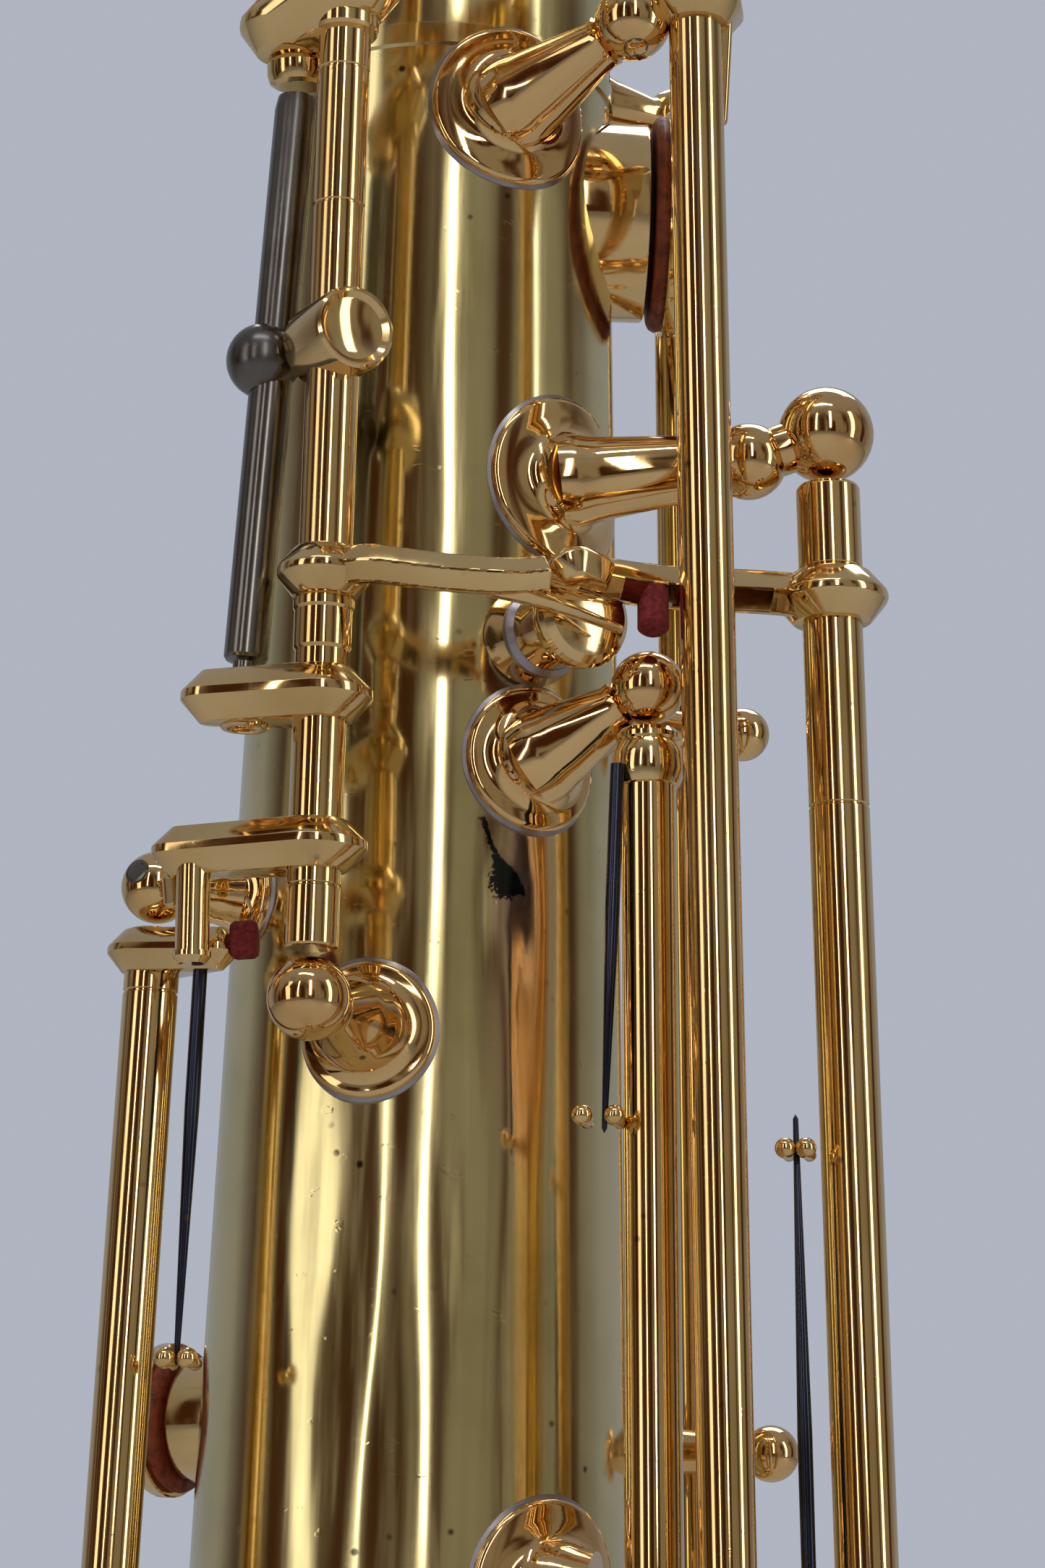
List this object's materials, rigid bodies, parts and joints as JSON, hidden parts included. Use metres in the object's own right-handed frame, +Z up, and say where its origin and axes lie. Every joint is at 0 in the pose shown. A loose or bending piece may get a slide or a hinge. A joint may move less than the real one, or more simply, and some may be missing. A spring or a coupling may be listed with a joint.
{
  "type": "soprano saxophone",
  "caption": "Straight soprano saxophone in lacquered brass standing on its bell, with separate hinged keys, octave mechanism, posts, guards, thumb hook, cork neck and mouthpiece.",
  "frame": {"origin": "centre of the flat face the bell rim stands on", "axes": "+Z runs up the body from bell to mouthpiece, -Y is the thumb side, +Y the front with the finger keys, +X the player's right"},
  "size_m": [0.092, 0.092, 0.7002],
  "materials": {
    "brass_lacquer": "clear lacquer over polished brass",
    "brass_rose": "clear lacquer over redder brass",
    "steel_dark": "dark polished steel",
    "pearl": "pearl button",
    "ebonite": "polished hard rubber",
    "cane": "bare cane",
    "cork": "waxed cork"
  },
  "bodies": {
    "horn": {"body_tube": "brass_lacquer", "bell": "brass_lacquer", "bell_rim": "brass_lacquer", "bell_ring": "brass_rose", "neck_ring": "brass_rose", "neck_cork": "cork", "mouthpiece": "ebonite", "reed": "cane", "ligature": "brass_lacquer", "ligature_screw_low": "brass_lacquer", "ligature_screw_high": "brass_lacquer", "post_carriage": "brass_rose", "post_side_b_flat": "brass_rose", "post_vent": "brass_rose", "post_lever": "brass_rose", "post_link": "brass_rose", "rod_saddle": "brass_rose", "strap_ring": "brass_rose", "thumb_hook": "brass_lacquer", "thumb_rest": "brass_lacquer", "guard_low_b": "brass_lacquer"},
    "key_d_body": {"key_d": "brass_lacquer", "pearl_d": "pearl"},
    "key_e_body": {"key_e": "brass_lacquer", "pearl_e": "pearl"},
    "key_f_body": {"key_f": "brass_lacquer", "pearl_f": "pearl"},
    "key_f_sharp_body": {"key_f_sharp": "brass_lacquer"},
    "key_g_body": {"key_g": "brass_lacquer", "pearl_g": "pearl"},
    "key_bis_body": {"key_bis": "brass_lacquer"},
    "key_a_body": {"key_a": "brass_lacquer", "pearl_a": "pearl"},
    "key_b_body": {"key_b": "brass_lacquer", "pearl_b": "pearl"},
    "key_small_c_body": {"key_small_c": "brass_lacquer"},
    "key_side_b_flat_body": {"key_side_b_flat": "brass_lacquer"},
    "key_high_e_body": {"key_high_e": "brass_lacquer"},
    "key_side_c_body": {"key_side_c": "brass_lacquer"},
    "key_g_sharp_body": {"key_g_sharp": "brass_lacquer"},
    "key_low_c_sharp_body": {"key_low_c_sharp": "brass_lacquer"},
    "key_low_b_body": {"key_low_b": "brass_lacquer"},
    "key_low_b_flat_body": {"key_low_b_flat": "brass_lacquer"},
    "key_low_c_body": {"key_low_c": "brass_lacquer"},
    "key_e_flat_body": {"key_e_flat": "brass_lacquer"},
    "key_palm_d_body": {"key_palm_d": "brass_lacquer"},
    "key_palm_e_flat_body": {"key_palm_e_flat": "brass_lacquer"},
    "key_palm_f_body": {"key_palm_f": "brass_lacquer"},
    "octave_carriage_body": {"octave_carriage": "brass_lacquer"},
    "octave_rocker_body": {"octave_rocker": "steel_dark"},
    "octave_vent_key_body": {"octave_vent_key": "brass_lacquer"},
    "octave_lever_body": {"octave_lever": "brass_lacquer"},
    "g_link_body": {"g_link": "brass_lacquer"},
    "neck_octave_key_body": {"neck_octave_key": "brass_lacquer"}
  },
  "joints": [
    {"name": "key_d_hinge", "type": "hinge", "parent": "horn", "child": "key_d_body", "pos_m": [0.01097, 0.02064, 0.23155], "axis": [-0.0123, -0.0231, 0.9997], "range_deg": [0, 10], "stiffness_Nm_per_rad": 0.01, "springref_deg": -28.65},
    {"name": "key_e_hinge", "type": "hinge", "parent": "horn", "child": "key_e_body", "pos_m": [0.01061, 0.01995, 0.2613], "axis": [-0.0123, -0.0231, 0.9997], "range_deg": [0, 10], "stiffness_Nm_per_rad": 0.01, "springref_deg": -28.65},
    {"name": "key_f_hinge", "type": "hinge", "parent": "horn", "child": "key_f_body", "pos_m": [0.01024, 0.01927, 0.2908], "axis": [-0.0123, -0.0231, 0.9997], "range_deg": [0, 10], "stiffness_Nm_per_rad": 0.01, "springref_deg": -28.65},
    {"name": "key_f_sharp_hinge", "type": "hinge", "parent": "horn", "child": "key_f_sharp_body", "pos_m": [0.00993, 0.01867, 0.3165], "axis": [-0.0123, -0.0231, 0.9997], "range_deg": [0, 10], "stiffness_Nm_per_rad": 0.01, "springref_deg": -28.65},
    {"name": "key_g_hinge", "type": "hinge", "parent": "horn", "child": "key_g_body", "pos_m": [0.00919, 0.01727, 0.3769], "axis": [-0.0123, -0.0231, 0.9997], "range_deg": [0, 10], "stiffness_Nm_per_rad": 0.01, "springref_deg": -28.65},
    {"name": "key_bis_hinge", "type": "hinge", "parent": "horn", "child": "key_bis_body", "pos_m": [0.00892, 0.01677, 0.3987], "axis": [-0.0123, -0.0231, 0.9997], "range_deg": [0, 10], "stiffness_Nm_per_rad": 0.01, "springref_deg": -28.65},
    {"name": "key_a_hinge", "type": "hinge", "parent": "horn", "child": "key_a_body", "pos_m": [0.00868, 0.01632, 0.4181], "axis": [-0.0123, -0.0231, 0.9997], "range_deg": [0, 10], "stiffness_Nm_per_rad": 0.01, "springref_deg": -28.65},
    {"name": "key_b_hinge", "type": "hinge", "parent": "horn", "child": "key_b_body", "pos_m": [0.00836, 0.01573, 0.4436], "axis": [-0.0123, -0.0231, 0.9997], "range_deg": [0, 10], "stiffness_Nm_per_rad": 0.01, "springref_deg": -28.65},
    {"name": "key_small_c_hinge", "type": "hinge", "parent": "horn", "child": "key_small_c_body", "pos_m": [0.00812, 0.01527, 0.4638], "axis": [-0.0123, -0.0231, 0.9997], "range_deg": [0, 10], "stiffness_Nm_per_rad": 0.01, "springref_deg": -28.65},
    {"name": "key_side_b_flat_hinge", "type": "hinge", "parent": "horn", "child": "key_side_b_flat_body", "pos_m": [0.01451, -0.01444, 0.3668], "axis": [-0.0184, 0.0205, 0.9996], "range_deg": [-8, 0], "stiffness_Nm_per_rad": 0.01, "springref_deg": 28.65},
    {"name": "key_high_e_hinge", "type": "hinge", "parent": "horn", "child": "key_high_e_body", "pos_m": [0.01669, -0.01631, 0.4355], "axis": [-0.0262, 0.0165, 0.9995], "range_deg": [-10, 0], "stiffness_Nm_per_rad": 0.01, "springref_deg": 28.65},
    {"name": "key_side_c_hinge", "type": "hinge", "parent": "horn", "child": "key_side_c_body", "pos_m": [0.01749, 0.0101, 0.3985], "axis": [-0.0227, -0.0131, 0.9997], "range_deg": [0, 9], "stiffness_Nm_per_rad": 0.01, "springref_deg": -28.65},
    {"name": "key_g_sharp_hinge", "type": "hinge", "parent": "horn", "child": "key_g_sharp_body", "pos_m": [-0.0123, 0.01574, 0.369], "axis": [0.0161, -0.0206, 0.9997], "range_deg": [-9, 0], "stiffness_Nm_per_rad": 0.01, "springref_deg": 28.65},
    {"name": "key_low_c_sharp_hinge", "type": "hinge", "parent": "horn", "child": "key_low_c_sharp_body", "pos_m": [-0.02122, -0.00945, 0.237], "axis": [0.0239, 0.0107, 0.9997], "range_deg": [-9, 0], "stiffness_Nm_per_rad": 0.01, "springref_deg": 28.65},
    {"name": "key_low_b_hinge", "type": "hinge", "parent": "horn", "child": "key_low_b_body", "pos_m": [-0.02342, 0.00329, 0.221], "axis": [0.0259, -0.0036, 0.9997], "range_deg": [-9, 0], "stiffness_Nm_per_rad": 0.01, "springref_deg": 28.65},
    {"name": "key_low_b_flat_hinge", "type": "hinge", "parent": "horn", "child": "key_low_b_flat_body", "pos_m": [-0.02404, -0.00253, 0.201], "axis": [0.026, 0.0027, 0.9997], "range_deg": [-8, 0], "stiffness_Nm_per_rad": 0.01, "springref_deg": 28.65},
    {"name": "key_low_c_hinge", "type": "hinge", "parent": "horn", "child": "key_low_c_body", "pos_m": [0.02279, 0.01015, 0.1715], "axis": [-0.0239, -0.0107, 0.9997], "range_deg": [0, 10], "stiffness_Nm_per_rad": 0.01, "springref_deg": -28.65},
    {"name": "key_e_flat_hinge", "type": "hinge", "parent": "horn", "child": "key_e_flat_body", "pos_m": [0.02376, 0.00334, 0.208], "axis": [-0.0259, -0.0036, 0.9997], "range_deg": [-10, 0], "stiffness_Nm_per_rad": 0.01, "springref_deg": 28.65},
    {"name": "key_palm_d_hinge", "type": "hinge", "parent": "horn", "child": "key_palm_d_body", "pos_m": [-0.01468, -0.00716, 0.49255], "axis": [0.0235, 0.0115, 0.9997], "range_deg": [0, 11], "stiffness_Nm_per_rad": 0.01, "springref_deg": -28.65},
    {"name": "key_palm_e_flat_hinge", "type": "hinge", "parent": "horn", "child": "key_palm_e_flat_body", "pos_m": [-0.01061, 0.01178, 0.511], "axis": [0.0175, -0.0195, 0.9997], "range_deg": [-11, 0], "stiffness_Nm_per_rad": 0.01, "springref_deg": 28.65},
    {"name": "key_palm_f_hinge", "type": "hinge", "parent": "horn", "child": "key_palm_f_body", "pos_m": [-0.01278, -0.00798, 0.541], "axis": [0.0222, 0.0139, 0.9997], "range_deg": [0, 11], "stiffness_Nm_per_rad": 0.01, "springref_deg": -28.65},
    {"name": "octave_carriage_hinge", "type": "hinge", "parent": "horn", "child": "octave_carriage_body", "pos_m": [-0.00597, -0.018, 0.4491], "axis": [0.0035, 0, 1], "range_deg": [-5, 0], "stiffness_Nm_per_rad": 0.01, "springref_deg": 17.19},
    {"name": "octave_rocker_hinge", "type": "hinge", "parent": "octave_carriage_body", "child": "octave_rocker_body", "pos_m": [-0.00975, -0.0156, 0.4512], "axis": [0.0477, 0.0337, 0.9983], "range_deg": [-8, 8]},
    {"name": "octave_vent_key_hinge", "type": "hinge", "parent": "horn", "child": "octave_vent_key_body", "pos_m": [0.02581, -0.00964, 0.40625], "axis": [-0.0322, 0.0147, 0.9994], "range_deg": [0, 4.5], "stiffness_Nm_per_rad": 0.01, "springref_deg": -17.19},
    {"name": "octave_lever_hinge", "type": "hinge", "parent": "horn", "child": "octave_lever_body", "pos_m": [0.01104, -0.01457, 0.4948], "axis": [-0.0374, 0.0214, 0.9991], "range_deg": [-3.5, 0], "stiffness_Nm_per_rad": 0.01, "springref_deg": 17.19},
    {"name": "g_link_hinge", "type": "hinge", "parent": "horn", "child": "g_link_body", "pos_m": [-0.0169, -0.00994, 0.3833], "axis": [0.0224, 0.0263, 0.9994], "range_deg": [0, 5], "stiffness_Nm_per_rad": 0.01, "springref_deg": -28.65},
    {"name": "neck_octave_key_hinge", "type": "hinge", "parent": "horn", "child": "neck_octave_key_body", "pos_m": [0, -0.01407, 0.556], "axis": [1, 0, 0], "range_deg": [0, 3], "stiffness_Nm_per_rad": 0.01, "springref_deg": -28.65}
  ],
  "couplings": [
    {"joint": "key_f_sharp_hinge", "follows": "key_f_hinge", "ratio": 1},
    {"joint": "octave_carriage_hinge", "follows": "octave_lever_hinge", "ratio": 1.4},
    {"joint": "octave_vent_key_hinge", "follows": "octave_lever_hinge", "ratio": -1.2}
  ]
}
